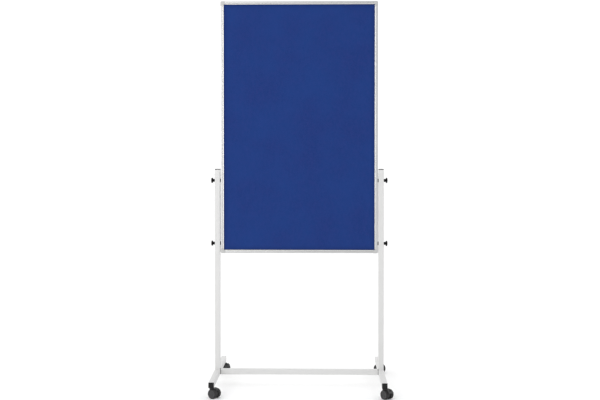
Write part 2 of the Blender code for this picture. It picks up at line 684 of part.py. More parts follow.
def make_hood(name, pivot, braked):
    bm = bmesh.new()
    extrude_outline(bm, hood_outline(), side_view_axes(HOOD_HALF_WIDTH), 2 * HOOD_HALF_WIDTH)
    hood = add_object(f"caster_{name}_hood", bm, "dark_plastic", parent=pivot)
    centre = (CASTER_TRAIL, AXLE_HEIGHT)
    fender = bmesh.new()
    front, rear = FENDER_ARC
    band = arc(centre, HOOD_RADIUS, front, rear, 6) + arc(centre, FENDER_INNER, rear, front, 6)
    extrude_outline(fender, band, side_view_axes(FENDER_HALF_WIDTH), 2 * FENDER_HALF_WIDTH)
    cut(hood, add_object(hood.name + "_fender", fender, parent=pivot), "UNION")
    boss = bmesh.new()
    rod(boss, (0, 0, SWIVEL_BOSS_BOTTOM), (0, 0, SWIVEL_BOSS_TOP), SWIVEL_BOSS_RADIUS, 24)
    cut(hood, add_object(hood.name + "_boss", boss, parent=pivot), "UNION")
    if braked:
        lug = bmesh.new()
        x, z = pedal_pivot()
        rod(lug, (x, -HOOD_HALF_WIDTH, z), (x, HOOD_HALF_WIDTH, z), PEDAL_LUG_RADIUS)
        cut(hood, add_object(hood.name + "_lug", lug, parent=pivot), "UNION")
    bores = bmesh.new()
    past = 2 * HOOD_HALF_WIDTH
    rod(bores, (CASTER_TRAIL, -past, AXLE_HEIGHT), (CASTER_TRAIL, past, AXLE_HEIGHT),
        AXLE_RADIUS + GAP)
    rod(bores, (0, 0, STEM_BOTTOM - GAP), (0, 0, STEM_TOP), STEM_BORE)
    if braked:
        rod(bores, (x, -past, z), (x, past, z), PEDAL_PIN_RADIUS + GAP)
    cut(hood, add_object(hood.name + "_bores", bores, parent=pivot))


def make_stem(name, pivot):
    """Swivel stem with a thrust collar between hood and foot."""
    collar_low, collar_high = SWIVEL_BOSS_TOP + GAP, FOOT_BOTTOM - GAP
    profile = [(0, STEM_TOP), (STEM_RADIUS - STEM_CHAMFER, STEM_TOP),
               (STEM_RADIUS, STEM_TOP - STEM_CHAMFER),
               (STEM_RADIUS, collar_high), (COLLAR_RADIUS, collar_high), (COLLAR_RADIUS, collar_low),
               (STEM_RADIUS, collar_low), (STEM_RADIUS, STEM_BOTTOM), (0, STEM_BOTTOM)]
    turned(f"caster_{name}_stem", profile, "zinc_steel", 16, parent=pivot)


def make_axle(name, pivot):
    half = WHEEL_INNER_FACE + WHEEL_WIDTH - AXLE_SHORT
    tip = AXLE_RADIUS - AXLE_CHAMFER
    profile = [(0, half), (tip, half), (AXLE_RADIUS, half - AXLE_CHAMFER),
               (AXLE_RADIUS, -half + AXLE_CHAMFER), (tip, -half), (0, -half)]
    turned(f"caster_{name}_axle", profile, "zinc_steel", 12,
           (CASTER_TRAIL, 0, AXLE_HEIGHT), (math.pi / 2, 0, 0), pivot)


def pedal_pivot():
    angle = math.radians(PEDAL_PIVOT_ANGLE)
    return (CASTER_TRAIL + PEDAL_PIVOT_RADIUS * math.cos(angle),
            AXLE_HEIGHT + PEDAL_PIVOT_RADIUS * math.sin(angle))


def make_pedal(name, pivot):
    """Brake pedal: a fork on a pin through the hood's lug, with a shoe below."""
    x, z = pedal_pivot()
    eye = arc((0, 0), PEDAL_LUG_RADIUS - GAP, 60, 200, 5)
    shoe = [(0.0052, 0.0010 - PEDAL_SHOE_DROP), (0.0075, -PEDAL_SHOE_DROP), (0.0082, -0.0072)]
    toe = [(PEDAL_REACH - 0.0012, -0.0112), (PEDAL_REACH, -0.0102),
           (PEDAL_REACH - 0.0006, -0.0084), (0.0086, -0.0024)]
    bm = bmesh.new()
    extrude_outline(bm, eye + shoe + toe, side_view_axes(PEDAL_HALF_WIDTH), 2 * PEDAL_HALF_WIDTH)
    pedal = add_object(f"caster_{name}_brake_pedal", bm, "dark_plastic", (x, 0, z), pivot)
    bevel(pedal, 0.0005, 1, 50)
    slot = bmesh.new()
    clear = 2 * PEDAL_SHOE_DROP
    box(slot, (x - clear, -PEDAL_FORK_GAP, z - clear),
        (x + PEDAL_FORK_DEPTH, PEDAL_FORK_GAP, z + clear))
    cut(pedal, add_object(pedal.name + "_slot", slot, parent=pivot))
    pin = bmesh.new()
    reach = PEDAL_HALF_WIDTH - PEDAL_PIN_INSET
    rod(pin, (x, -reach, z), (x, reach, z), PEDAL_PIN_RADIUS, 16)
    cut(pedal, add_object(pedal.name + "_pin", pin, parent=pivot), "UNION")


# --------------------------------------------------------------------- build

clear_scene()
parts = new_collection("rolling_board")
cutters = new_collection("cutters")

make_posts()
make_feet()
make_crossbar()
make_clamps()
make_frame()
make_corner_caps()
make_panel()
for caster_name, caster in CASTERS.items():
    make_caster(caster_name, *caster)
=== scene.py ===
"""Looks of the rolling board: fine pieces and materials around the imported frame.

Metres, +Z up, -Y to the felt side. Places come from the frame's boxes and joints.
"""

import json
import math

import bmesh
import bpy
from mathutils import Matrix, Vector


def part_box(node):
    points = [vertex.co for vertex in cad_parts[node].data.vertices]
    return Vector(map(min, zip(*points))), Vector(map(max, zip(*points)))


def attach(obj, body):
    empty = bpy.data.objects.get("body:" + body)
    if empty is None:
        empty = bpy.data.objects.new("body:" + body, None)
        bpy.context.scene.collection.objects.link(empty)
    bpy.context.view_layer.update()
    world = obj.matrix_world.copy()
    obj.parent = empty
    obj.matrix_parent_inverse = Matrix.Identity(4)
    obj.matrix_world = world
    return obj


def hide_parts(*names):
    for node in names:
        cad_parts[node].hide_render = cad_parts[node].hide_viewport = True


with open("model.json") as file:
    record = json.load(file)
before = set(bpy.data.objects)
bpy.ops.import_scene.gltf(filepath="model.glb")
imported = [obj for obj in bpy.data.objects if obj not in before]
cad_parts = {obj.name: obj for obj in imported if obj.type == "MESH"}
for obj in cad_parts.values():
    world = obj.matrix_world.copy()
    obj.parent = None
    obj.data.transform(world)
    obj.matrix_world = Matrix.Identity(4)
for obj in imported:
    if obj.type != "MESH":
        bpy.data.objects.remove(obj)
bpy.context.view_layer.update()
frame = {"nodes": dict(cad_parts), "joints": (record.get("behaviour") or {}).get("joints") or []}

JOINTS = {joint["name"]: joint for joint in frame["joints"]}
SIDES = {"left": -1, "right": 1}
ENDS = {"front": -1, "rear": 1}
LEVELS = ("lower", "upper")
CASTERS = ("front_left", "front_right", "rear_left", "rear_right")
GAP = 0.0003
SHARP = math.radians(32)
X, Y, Z = (Vector(axis) for axis in ((1, 0, 0), (0, 1, 0), (0, 0, 1)))

# Sizes of details that the frame's boxes don't give
TUBE_SIZE = 0.025
TUBE_ROUND = 0.0020
TUBE_WALL = 0.0015
TUBE_DEBURR = 0.0003
PLUG_SIZE = 0.0213
STUD_HOLE = 0.0034              # radii of holes
STEM_HOLE = 0.0043
BOLT_HOLE = 0.0043
FRAME_DEPTH = 0.020
FRAME_FACE = 0.0149             # width of the frame from the front
FRAME_BAND = 0.0088             # its flat outer part
FRAME_LIP = 0.0099              # where its bead starts, which has a smoother finish and a painted highlight
PANEL_GROOVE = 0.0084
SLOT_LIP = 0.0016
SLOT_OPENING = 0.0066
SLOT_WIDTH = 0.0116
SLOT_DEPTH = 0.0066

ROOM_LIGHT = 0.885
SWEEP_LIGHT = 1.20


# ===== shape helpers

def rounded(outline, radii, steps=5):
    """Round the corners of a closed outline, each by its own radius."""
    points = []
    count = len(outline)
    for i, (corner, radius) in enumerate(zip(outline, radii)):
        here = Vector(corner)
        before = Vector(outline[i - 1]) - here
        after = Vector(outline[(i + 1) % count]) - here
        reach = radius / math.tan(before.angle(after) / 2)
        start = here + before.normalized() * reach
        end = here + after.normalized() * reach
        for step in range(steps + 1):
            t = step / steps
            points.append(start * (1 - t) ** 2 + here * 2 * t * (1 - t) + end * t ** 2)
    return points


def arc(centre, radius, start, end, steps):
    """Points on an arc, from one angle in degrees to another."""
    angles = [math.radians(start + (end - start) * i / steps) for i in range(steps + 1)]
    return [Vector((centre[0] + radius * math.cos(a), centre[1] + radius * math.sin(a)))
            for a in angles]


def rounded_square(size, radius, steps=6, size_y=None):
    """Outline of a square, or of a size by size_y oblong, about the origin."""
    half_x, half_y = size / 2, (size_y or size) / 2
    corners = [(half_x, half_y), (-half_x, half_y), (-half_x, -half_y), (half_x, -half_y)]
    points = []
    for index, (x, y) in enumerate(corners):
        centre = (x - math.copysign(radius, x), y - math.copysign(radius, y))
        points += arc(centre, radius, 90 * index, 90 * index + 90, steps)
    return points


def axes(x_axis, y_axis, z_axis, origin=(0, 0, 0)):
    """Matrix that takes X, Y and Z to three directions, from a new origin."""
    matrix = Matrix((x_axis, y_axis, z_axis)).transposed().to_4x4()
    matrix.translation = Vector(origin)
    return matrix


def skin(rings, start_cap=True, end_cap=True, closed=True):
    """A bmesh whose quads join one ring of points to the next."""
    bm = bmesh.new()
    rows = [[bm.verts.new(point) for point in ring] for ring in rings]
    for lower, upper in zip(rows, rows[1:]):
        for i in range(len(lower) if closed else len(lower) - 1):
            j = (i + 1) % len(lower)
            bm.faces.new((lower[i], lower[j], upper[j], upper[i]))
    if start_cap:
        bm.faces.new(rows[0])
    if end_cap:
        bm.faces.new(rows[-1])
    return bm


def prism(outline, length, edge=0.0):
    """An outline pushed along Z, with its two ends eased by edge."""
    middle = sum((Vector(p) for p in outline), Vector((0, 0))) / len(outline)

    def ring(height, inset):
        points = []
        for point in outline:
            offset = Vector(point) - middle
            scale = 1 - inset / max(offset.length, 1e-6)
            points.append((*(middle + offset * scale), height))
        return points

    rings = [ring(0, 0), ring(length, 0)]
    if edge:
        lift = edge * 0.3
        rings = [ring(0, edge), ring(lift, lift), ring(edge, 0), ring(length - edge, 0),
                 ring(length - lift, lift), ring(length, edge)]
    return skin(rings)


def lathe(profile, steps, radius_at=None):
    """Turn a profile of (radius, height) round Z. A zero radius closes an end."""
    bm = bmesh.new()
    rows = []
    for radius, height in profile:
        if radius == 0:
            rows.append([bm.verts.new((0, 0, height))])
            continue
        row = []
        for step in range(steps):
            angle = 2 * math.pi * step / steps
            r = radius_at(radius, height, angle) if radius_at else radius
            row.append(bm.verts.new((r * math.cos(angle), r * math.sin(angle), height)))
        rows.append(row)
    if profile[0] == profile[-1]:
        for vert in rows.pop():
            bm.verts.remove(vert)
        rows.append(rows[0])
    for lower, upper in zip(rows, rows[1:]):
        for i in range(steps):
            j = (i + 1) % steps
            ring = [lower[i % len(lower)], lower[j % len(lower)],
                    upper[j % len(upper)], upper[i % len(upper)]]
            bm.faces.new(list(dict.fromkeys(ring)))
    return bm


def cylinder(start, end, radius, steps=40):
    """A closed rod between two points, for cutting holes."""
    start, end = Vector(start), Vector(end)
    turn = (end - start).to_track_quat("Z", "Y").to_matrix().to_4x4()
    bm = bmesh.new()
    matrix = Matrix.Translation((start + end) / 2) @ turn
    bmesh.ops.create_cone(bm, cap_ends=True, segments=steps, radius1=radius, radius2=radius,
                          depth=(end - start).length, matrix=matrix)
    return bm


def merge(bm, other, matrix):
    """Put another bmesh into this one, moved by a matrix."""
    bmesh.ops.transform(other, matrix=matrix, verts=other.verts)
    mesh = bpy.data.meshes.new("merge")
    other.to_mesh(mesh)
    other.free()
    bm.from_mesh(mesh)
    bpy.data.meshes.remove(mesh)


def add(name, bm, material, matrix=None, smooth=SHARP):
    """Make a bmesh into an object whose vertices are in the row frame."""
    if matrix is not None:
        bmesh.ops.transform(bm, matrix=matrix, verts=bm.verts)
    bmesh.ops.recalc_face_normals(bm, faces=bm.faces)
    mesh = bpy.data.meshes.new(name)
    bm.to_mesh(mesh)
    bm.free()
    obj = bpy.data.objects.new(name, mesh)
    bpy.context.scene.collection.objects.link(obj)
    for one in (material if isinstance(material, (list, tuple)) else [material]):
        mesh.materials.append(one)
    mesh.shade_smooth()
    mesh.set_sharp_from_angle(angle=smooth)
    return obj


def apply_modifiers(obj):
    bpy.context.view_layer.update()
    evaluated = obj.evaluated_get(bpy.context.evaluated_depsgraph_get())
    mesh = bpy.data.meshes.new_from_object(evaluated)
    obj.modifiers.clear()
    obj.data = mesh
    mesh.shade_smooth()
    mesh.set_sharp_from_angle(angle=SHARP)


def carve(obj, bm, operation="DIFFERENCE", matrix=None):
    """Cut a bmesh out of a piece, or join it on, for good."""
    tool = add(obj.name + "_tool", bm, obj.data.materials[0], matrix)
    modifier = obj.modifiers.new("Boolean", "BOOLEAN")
    modifier.operation = operation
    modifier.solver = "EXACT"
    modifier.object = tool
    apply_modifiers(obj)
    bpy.data.objects.remove(tool, do_unlink=True)


def drill(obj, start, end, radius):
    """Cut a round hole between two points."""
    carve(obj, cylinder(start, end, radius))


def drill_across(obj, start, end, height, radius):
    """Cut a round hole along X between two places, in the middle of the depth."""
    drill(obj, (start, 0, height), (end, 0, height), radius)


def ease(obj, width, angle):
    """Round a piece's sharp edges for good."""
    modifier = obj.modifiers.new("Bevel", "BEVEL")
    modifier.width = width
    modifier.segments = 3
    modifier.limit_method = "ANGLE"
    modifier.angle_limit = math.radians(angle)
    modifier.use_clamp_overlap = True
    apply_modifiers(obj)


def place(obj, body, slot, *nodes):
    """Ride on a body and stand for CAD nodes. The slot is not used."""
    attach(obj, body)
    if nodes:
        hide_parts(*nodes)


def box(node):
    """Lowest and highest corner of a node's box, and its middle."""
    low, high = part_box(node)
    return low, high, (low + high) / 2


def outermost(low, high, side):
    """The corner of a box on the side that is named by -1 or 1."""
    return high if side > 0 else low


# ===== materials

class Surface:
    """A Principled material and short calls for the nodes that feed it."""

    def __init__(self, name, **values):
        self.material = bpy.data.materials.new(name)
        self.material.use_nodes = True
        self.tree = self.material.node_tree
        self.shader = self.tree.nodes["Principled BSDF"]
        for socket, value in values.items():
            self.shader.inputs[socket.replace("_", " ")].default_value = value
        self.coordinates = self.tree.nodes.new("ShaderNodeTexCoord").outputs["Object"]

    def link(self, source, target):
        self.tree.links.new(source, target)

    def node(self, kind, source=None, entry="Vector", values=(), **settings):
        """A node with its settings and values, fed by one source."""
        made = self.tree.nodes.new("ShaderNode" + kind)
        for key, value in settings.items():
            setattr(made, key, value)
        for name, value in dict(values).items():
            made.inputs[name].default_value = value
        if source:
            self.link(source, made.inputs[entry])
        return made

    def grain(self, size, turn=(0, 0, 0), start=(0, 0, 0)):
        """Coordinates in units of a feature's size in metres, turned and shifted."""
        values = {"Location": start, "Rotation": turn, "Scale": size}
        mapping = self.node("Mapping", self.coordinates, values=values, vector_type="TEXTURE")
        return mapping.outputs["Vector"]

    def noise(self, scale, detail=3.0, roughness=0.5, vector=None, distortion=0.0):
        values = {"Scale": scale, "Detail": detail, "Roughness": roughness,
                  "Distortion": distortion}
        return self.node("TexNoise", vector or self.coordinates, values=values).outputs["Fac"]

    def cells(self, scale):
        made = self.node("TexVoronoi", self.coordinates, values={"Scale": scale})
        return made.outputs["Distance"]

    def span(self, value, low, high, from_low=0.3, from_high=0.7):
        """Map a value's range onto another, and stop at its ends."""
        values = {"From Min": from_low, "From Max": from_high, "To Min": low, "To Max": high}
        return self.node("MapRange", value, "Value", values).outputs["Result"]

    def math(self, operation, first, second):
        made = self.node("Math", operation=operation)
        for socket, value in zip(made.inputs, (first, second)):
            if isinstance(value, (int, float)):
                socket.default_value = value
            else:
                self.link(value, socket)
        return made.outputs["Value"]

    def mix(self, factor, first, second):
        """Blend two colours, each a socket or (r, g, b)."""
        made = self.node("Mix", data_type="RGBA")
        self.link(factor, made.inputs["Factor"])
        for name, colour in (("A", first), ("B", second)):
            socket = next(s for s in made.inputs if s.name == name and s.type == "RGBA")
            if isinstance(colour, tuple):
                socket.default_value = (*colour, 1.0)
            else:
                self.link(colour, socket)
        return next(s for s in made.outputs if s.type == "RGBA")

    def painted_edge_shade(self, low, high, reach, peak):
        """A mask for painted shade: rises to peak at the border of an upright field, from 0 at
        reach inside it.
        """
        split = self.node("SeparateXYZ", self.coordinates)
        near = None
        for axis, name in ((0, "X"), (2, "Z")):
            for edge, sign in ((low[axis], 1), (high[axis], -1)):
                offset = self.math("SUBTRACT", split.outputs[name], edge)
                inside = self.math("MULTIPLY", offset, sign)
                near = inside if near is None else self.math("MINIMUM", near, inside)
        falling = self.span(near, 1.0, 0.0, 0.0, reach)
        return self.math("MULTIPLY", self.math("POWER", falling, 2.0), peak)

    def blend(self, value, first, second, *span):
        """Mix two colours by a value that is first mapped, as in span()."""
        return self.mix(self.span(value, *span), first, second)

    def finish(self, tone, roughness, height, distance, strength):
        """Feed colour, roughness and bump, and give back the material."""
        self.link(tone, self.shader.inputs["Base Color"])
        if roughness:
            self.link(roughness, self.shader.inputs["Roughness"])
        bump = self.node("Bump", height, "Height", {"Distance": distance, "Strength": strength})
        self.link(bump.outputs["Normal"], self.shader.inputs["Normal"])
        return self.material


def shade(colour, factor):
    return tuple(min(channel * factor, 1.0) for channel in colour)


def powder_coat(name, colour):
    """Baked white paint: fine orange peel and a faint cloudiness."""
    surface = Surface(name, Specular_IOR_Level=0.42)
    tone = surface.blend(surface.noise(7, 4), shade(colour, 0.975), colour, 0, 1)
    specks = surface.noise(2600, 1)
    tone = surface.blend(specks, tone, shade(colour, 0.86), 0, 0.10, 0.55, 0.8)
    haze = surface.span(surface.noise(45, 4), 0.36, 0.47)
    return surface.finish(tone, haze, surface.noise(780, 2, 0.4), 0.00010, 0.55)


def drawn_metal(name, colour, along, rough=(0.30, 0.42)):
    """Satin anodised extrusion with fine die lines along one axis."""
    surface = Surface(name, Metallic=1.0)
    size = [0.0011, 0.0011, 0.0011]
    size["xyz".index(along)] = 0.20
    lines = surface.noise(1.0, 3, 0.6, surface.grain(size))
    tone = surface.blend(lines, shade(colour, 0.94), colour, 0, 1)
    tone = surface.blend(surface.noise(9, 3), tone, shade(colour, 1.04), 0, 0.35)
    return surface.finish(tone, surface.span(lines, *rough), lines, 0.00004, 0.6)


def plated_steel(name, colour):
    """Zinc plating: soft crystalline blotches and a dull haze."""
    surface = Surface(name, Metallic=1.0)
    haze = surface.noise(120, 5)
    tone = surface.blend(surface.cells(420), colour, shade(colour, 0.86), 0, 1, 0.1, 0.8)
    tone = surface.blend(haze, tone, shade(colour, 1.1), 0, 0.5)
    rough = surface.span(haze, 0.24, 0.42)
    return surface.finish(tone, rough, surface.noise(1500, 2), 0.00004, 0.5)


def moulded(name, colour, rough, grain=1300.0, specular=0.35, rub=1.6):
    """Moulded plastic: eroded grain, with scuffed high spots a little lighter."""
    surface = Surface(name, Specular_IOR_Level=specular)
    clouds = surface.noise(35, 4)
    tone = surface.blend(clouds, shade(colour, 0.90), shade(colour, 1.06), 0, 1)
    scuffs = surface.noise(260, 6, 0.7, distortion=0.6)
    tone = surface.blend(scuffs, tone, shade(colour, rub), 0, 0.22, 0.58, 0.78)
    haze = surface.span(surface.noise(90, 3), *rough)
    return surface.finish(tone, haze, surface.noise(grain, 3, 0.6), 0.00008, 0.7)


def tyre_rubber(name, colour):
    """Soft tread: matt, with fine turning marks and a trace of dust."""
    surface = Surface(name, Specular_IOR_Level=0.25)
    dust = surface.noise(160, 5, 0.65)
    tone = surface.blend(dust, colour, (0.085, 0.082, 0.078), 0, 0.5, 0.5, 0.8)
    rough = surface.span(dust, 0.55, 0.78)
    return surface.finish(tone, rough, surface.noise(1700, 3, 0.6), 0.00006, 0.6)


def needle_felt(name, colour, field):
    """Pressed fibre felt: crossing fibres, tufts, soft mottling and a sheen.

    It has painted shade beside the frame: the felt is darker towards the frame's inner edge.
    """
    surface = Surface(name, Roughness=0.95, Specular_IOR_Level=0.06, Sheen_Weight=0.12,
                      Sheen_Roughness=0.45)
    surface.shader.inputs["Sheen Tint"].default_value = (0.35, 0.55, 1.0, 1.0)
    fibres = None
    for turn, start in ((12, 0.0), (58, 3.1), (101, 7.7), (149, 11.3)):
        vector = surface.grain((0.0075, 0.0020, 0.00055), (0, math.radians(turn), 0),
                               (start, start, start))
        strand = surface.noise(1.0, 3, 0.60, vector, 0.6)
        fibres = strand if fibres is None else surface.math("MAXIMUM", fibres, strand)
    tufts = surface.noise(1.0, 4, 0.6, surface.grain((0.0030, 0.0030, 0.0045)))
    mottle = surface.noise(1.0, 4, 0.62, surface.grain((0.010, 0.010, 0.018)))
    red, green, blue = colour
    warm, cool = (red * 1.50, green * 0.90, blue * 0.90), (red * 0.80, green * 1.12, blue * 1.03)
    tone = surface.blend(fibres, shade(colour, 0.66), shade(colour, 1.36), 0, 1, 0.50, 0.78)
    tone = surface.blend(tufts, tone, shade(colour, 0.70), 0, 0.35, 0.35, 0.65)
    tone = surface.blend(mottle, tone, warm, 0, 0.50, 0.36, 0.66)
    tone = surface.blend(surface.noise(6, 3), tone, cool, 0, 0.40, 0.35, 0.65)
    # painted shade: darken the felt near the frame, where the frame's recess shades it
    tone = surface.mix(surface.painted_edge_shade(*field, 0.026, 0.67), tone, shade(colour, 0.55))
    nap = surface.math("ADD", surface.math("MULTIPLY", fibres, 0.7),
                       surface.math("MULTIPLY", tufts, 0.5))
    return surface.finish(tone, None, nap, 0.00035, 0.8)


def enamel(name, colour):
    """Glossy white writing enamel with faint wipe marks."""
    surface = Surface(name, Coat_Weight=0.35, Coat_Roughness=0.05, Specular_IOR_Level=0.5)
    wipes = surface.noise(1.0, 5, 0.6, surface.grain((0.11, 0.11, 0.45), (0, 0.5, 0)), 1.4)
    ghosts = surface.noise(14, 6, 0.7, distortion=1.8)
    tone = surface.blend(wipes, shade(colour, 0.975), colour, 0, 1)
    tone = surface.blend(ghosts, tone, shade(colour, 0.93), 0, 0.35, 0.60, 0.80)
    rough = surface.span(wipes, 0.10, 0.20)
    return surface.finish(tone, rough, surface.noise(420, 2), 0.00002, 0.4)


def fibreboard(name, colour):
    """Pressed wood fibre, only seen if the panel is taken out."""
    surface = Surface(name, Specular_IOR_Level=0.2)
    chips = surface.noise(1.0, 5, 0.7, surface.grain((0.0014, 0.0033, 0.0020)), 0.5)
    tone = surface.blend(chips, shade(colour, 0.75), shade(colour, 1.2), 0, 1)
    tone = surface.blend(surface.cells(900), tone, shade(colour, 0.5), 0.4, 0, 0.0, 0.4)
    return surface.finish(tone, surface.span(chips, 0.8, 0.95), chips, 0.0002, 0.7)


WHITE = (0.60, 0.60, 0.595)
SILVER = (0.50, 0.50, 0.503)
BLACK = (0.010, 0.010, 0.0105)
CHARCOAL = (0.037, 0.037, 0.038)
FELT_BLUE = (0.0145, 0.0400, 0.1860)

paint = powder_coat("white_paint", WHITE)
drawn = {axis: drawn_metal("silver_aluminium_" + axis, SILVER, axis) for axis in "xz"}
# The bead's copy of the metal is lighter than the rest: a painted highlight, on a real smoother
# finish
lip_highlight = {axis: drawn_metal("silver_lip_highlight_" + axis, (0.66, 0.655, 0.640), axis, (0.22, 0.32))
          for axis in "xz"}
corner_plastic = moulded("grey_plastic", (0.44, 0.44, 0.438), (0.42, 0.56), 900, rub=1.12)
cap_plastic = moulded("dark_plastic", (0.045, 0.045, 0.046), (0.42, 0.58), rub=1.4)
black_plastic = moulded("black_plastic", BLACK, (0.40, 0.55), specular=0.18)
knob_plastic = moulded("knob_plastic", (0.004, 0.004, 0.0043), (0.38, 0.52), specular=0.08)
hood_plastic = moulded("hood_plastic", (0.022, 0.022, 0.0225), (0.42, 0.58), specular=0.30)
disc_plastic = moulded("wheel_disc", CHARCOAL, (0.38, 0.52), specular=0.30, rub=1.35)
pedal_plastic = moulded("pedal_plastic", (0.044, 0.044, 0.045), (0.38, 0.5), specular=0.32)
tread_rubber = tyre_rubber("wheel_tread", (0.021, 0.021, 0.0215))
sheet_low, sheet_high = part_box("felt_sheet")
margin = (X + Z) * (FRAME_FACE - PANEL_GROOVE)
felt = needle_felt("blue_felt", FELT_BLUE, (sheet_low + margin, sheet_high - margin))
board_enamel = enamel("white_lacquer", (0.80, 0.81, 0.815))
core_fibre = fibreboard("fibreboard", (0.42, 0.33, 0.22))
zinc = plated_steel("zinc_steel", (0.62, 0.62, 0.60))


# ===== stand

def tube_mesh(length):
    """Square tube along Z with rounded corners and deburred ends."""
    outer = rounded_square(TUBE_SIZE, TUBE_ROUND, 8)
    tight = rounded_square(TUBE_SIZE - 2 * TUBE_DEBURR, TUBE_ROUND - TUBE_DEBURR, 8)
    inner = rounded_square(TUBE_SIZE - 2 * TUBE_WALL, TUBE_ROUND - TUBE_WALL, 8)
    stations = [(tight, 0), (outer, TUBE_DEBURR), (outer, length - TUBE_DEBURR),
                (tight, length), (inner, length), (inner, 0), (tight, 0)]
    bm = skin([[(*point, height) for point in outline] for outline, height in stations],
              False, False)
    bmesh.ops.remove_doubles(bm, verts=bm.verts, dist=1e-7)
    return bm


def weld_bead(length, radius):
    """A low fillet weld with ripples, along X, in the corner of -Y and +Z."""
    steps = 60
    ripples = 11
    rings = []
    for i in range(steps + 1):
        t = i / steps
        swell = math.sin(math.pi * min(max(t, 0.02), 0.98)) ** 0.25
        r = radius * swell * (1 + 0.10 * math.sin(2 * math.pi * ripples * t))
        x = (t - 0.5) * length
        ring = []
        for angle in (math.radians(15 * k) for k in range(7)):
            hollow = 0.22 * r * math.sin(2 * angle)
            ring.append((x, hollow - r * math.cos(angle), r * math.sin(angle) - hollow))
        rings.append(ring + [(x, 0.0004, -0.0001)])
    return skin(rings)


def cap_mesh(size, levels, sharpen):
    """Square cap along Z through (inset, height) pairs, sharper as it narrows."""
    rings = []
    for inset, height in levels:
        outline = rounded_square(size - 2 * inset, max(TUBE_ROUND - inset * sharpen, 0.0008))
        rings.append([(*point, height) for point in outline])
    return skin(rings)


def make_posts():
    for side_name in SIDES:
        low, high, middle = box("post_" + side_name)
        post = add("post_tube_" + side_name, tube_mesh(high.z - low.z), paint,
                   Matrix.Translation((middle.x, middle.y, low.z)))
        for level in LEVELS:
            height = JOINTS[f"knob_{level}_{side_name}_turn"]["pos_m"][2]
            drill_across(post, low.x - 0.01, high.x + 0.01, height, STUD_HOLE)
        place(post, "stand", "white_paint", "post_" + side_name)
        for end_name, end in ENDS.items():
            spot = (middle.x, outermost(low, high, end).y, low.z - GAP)
            bead = weld_bead(high.x - low.x - 0.004, 0.0016)
            place(add(f"weld_{end_name}_{side_name}", bead, paint,
                      axes(-end * X, -end * Y, Z, spot)), "stand", "white_paint")
        make_post_cap(side_name)


def make_post_cap(side_name):
    """Push-in cap with a low crown, on a ribbed plug."""
    low, high, middle = box("post_cap_" + side_name)
    post_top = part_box("post_" + side_name)[1].z
    seat = post_top + GAP
    thick = high.z - seat
    levels = [(0.0003, 0.0), (0.0, 0.0003), (0.0, thick * 0.68), (0.0004, thick * 0.84),
              (0.0013, thick * 0.94), (0.0035, thick * 0.985), (0.0075, thick)]
    cap = add("post_crown_" + side_name, cap_mesh(high.x - low.x, levels, 0.3), black_plastic,
              Matrix.Translation((middle.x, middle.y, seat)))
    plug = add("post_plug_" + side_name, ribbed_plug(post_top - low.z), black_plastic,
               Matrix.Translation((middle.x, middle.y, low.z)))
    place(cap, "stand", "black_plastic", "post_cap_" + side_name)
    place(plug, "stand", "black_plastic")


def ribbed_plug(length):
    """A square plug along Z, waisted between three ribs, with a tapered nose."""
    levels = [(0.0, -0.0012), (0.0008, -0.0004)]
    ribs = 3
    pitch = (length - 0.0016) / ribs
    for rib in range(ribs):
        start = 0.0012 + pitch * rib
        levels += [(start, 0.0), (start + pitch * 0.35, 0.0), (start + pitch * 0.45, -0.0006),
                   (start + pitch * 0.92, -0.0006)]
    levels.append((length, -0.0002))
    return skin([[(*point, height) for point in rounded_square(PLUG_SIZE + 2 * grow, 0.0010, 3)]
                 for height, grow in levels])


def make_feet():
    for side_name in SIDES:
        low, high, middle = box("foot_" + side_name)
        foot = add("foot_tube_" + side_name, tube_mesh(high.y - low.y), paint,
                   axes(Z, X, Y, (middle.x, low.y, middle.z)))
        drill_across(foot, low.x - 0.01, high.x + 0.01, middle.z, BOLT_HOLE)
        for end_name, end in ENDS.items():
            x, y, _ = JOINTS[f"caster_{end_name}_{side_name}_swivel"]["pos_m"]
            drill(foot, (x, y, low.z - 0.01), (x, y, middle.z), STEM_HOLE)
            make_foot_cap(side_name, end_name, end)
        place(foot, "stand", "white_paint", "foot_" + side_name)


def make_foot_cap(side_name, end_name, end):
    """End cap: pillowed face with a shallow panel, and the plug with its socket."""
    label = f"{end_name}_{side_name}"
    low, high, middle = box("foot_cap_" + label)
    seat = outermost(*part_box("foot_" + side_name), end).y + end * GAP
    thick = abs(outermost(low, high, end).y - seat)
    levels = [(0.0003, 0.0), (0.0, 0.0003), (0.0, thick - 0.0016), (0.0003, thick - 0.0008),
              (0.0009, thick - 0.0003), (0.0020, thick - 0.0001), (0.0034, thick),
              (0.0037, thick), (0.0042, thick - 0.0004), (0.0062, thick - 0.0004)]
    cap = add("end_cap_" + label, cap_mesh(high.x - low.x, levels, 0.35), black_plastic,
              axes(-X, Z, end * Y, (middle.x, seat, middle.z)))
    place(cap, "stand", "black_plastic", "foot_cap_" + label)
    inner = outermost(low, high, -end).y
    plug = add("end_plug_" + label, ribbed_plug(abs(inner - seat)), black_plastic,
               axes(X, -end * Z, end * Y, (middle.x, inner, middle.z)))
    x, y, _ = JOINTS[f"caster_{label}_swivel"]["pos_m"]
    stem_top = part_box(f"caster_{label}_stem")[1].z
    drill(plug, (x, y, low.z - 0.01), (x, y, stem_top + GAP), STEM_HOLE)
    place(plug, "stand", "black_plastic")


def make_crossbar():
    low, high, middle = box("crossbar")
    place(add("crossbar_tube", tube_mesh(high.x - low.x), paint,
              axes(Y, Z, X, (low.x, middle.y, middle.z))), "stand", "white_paint", "crossbar")
    for side_name, side in SIDES.items():
        make_crossbar_insert(side_name, side)
        make_crossbar_bolt(side_name, side)


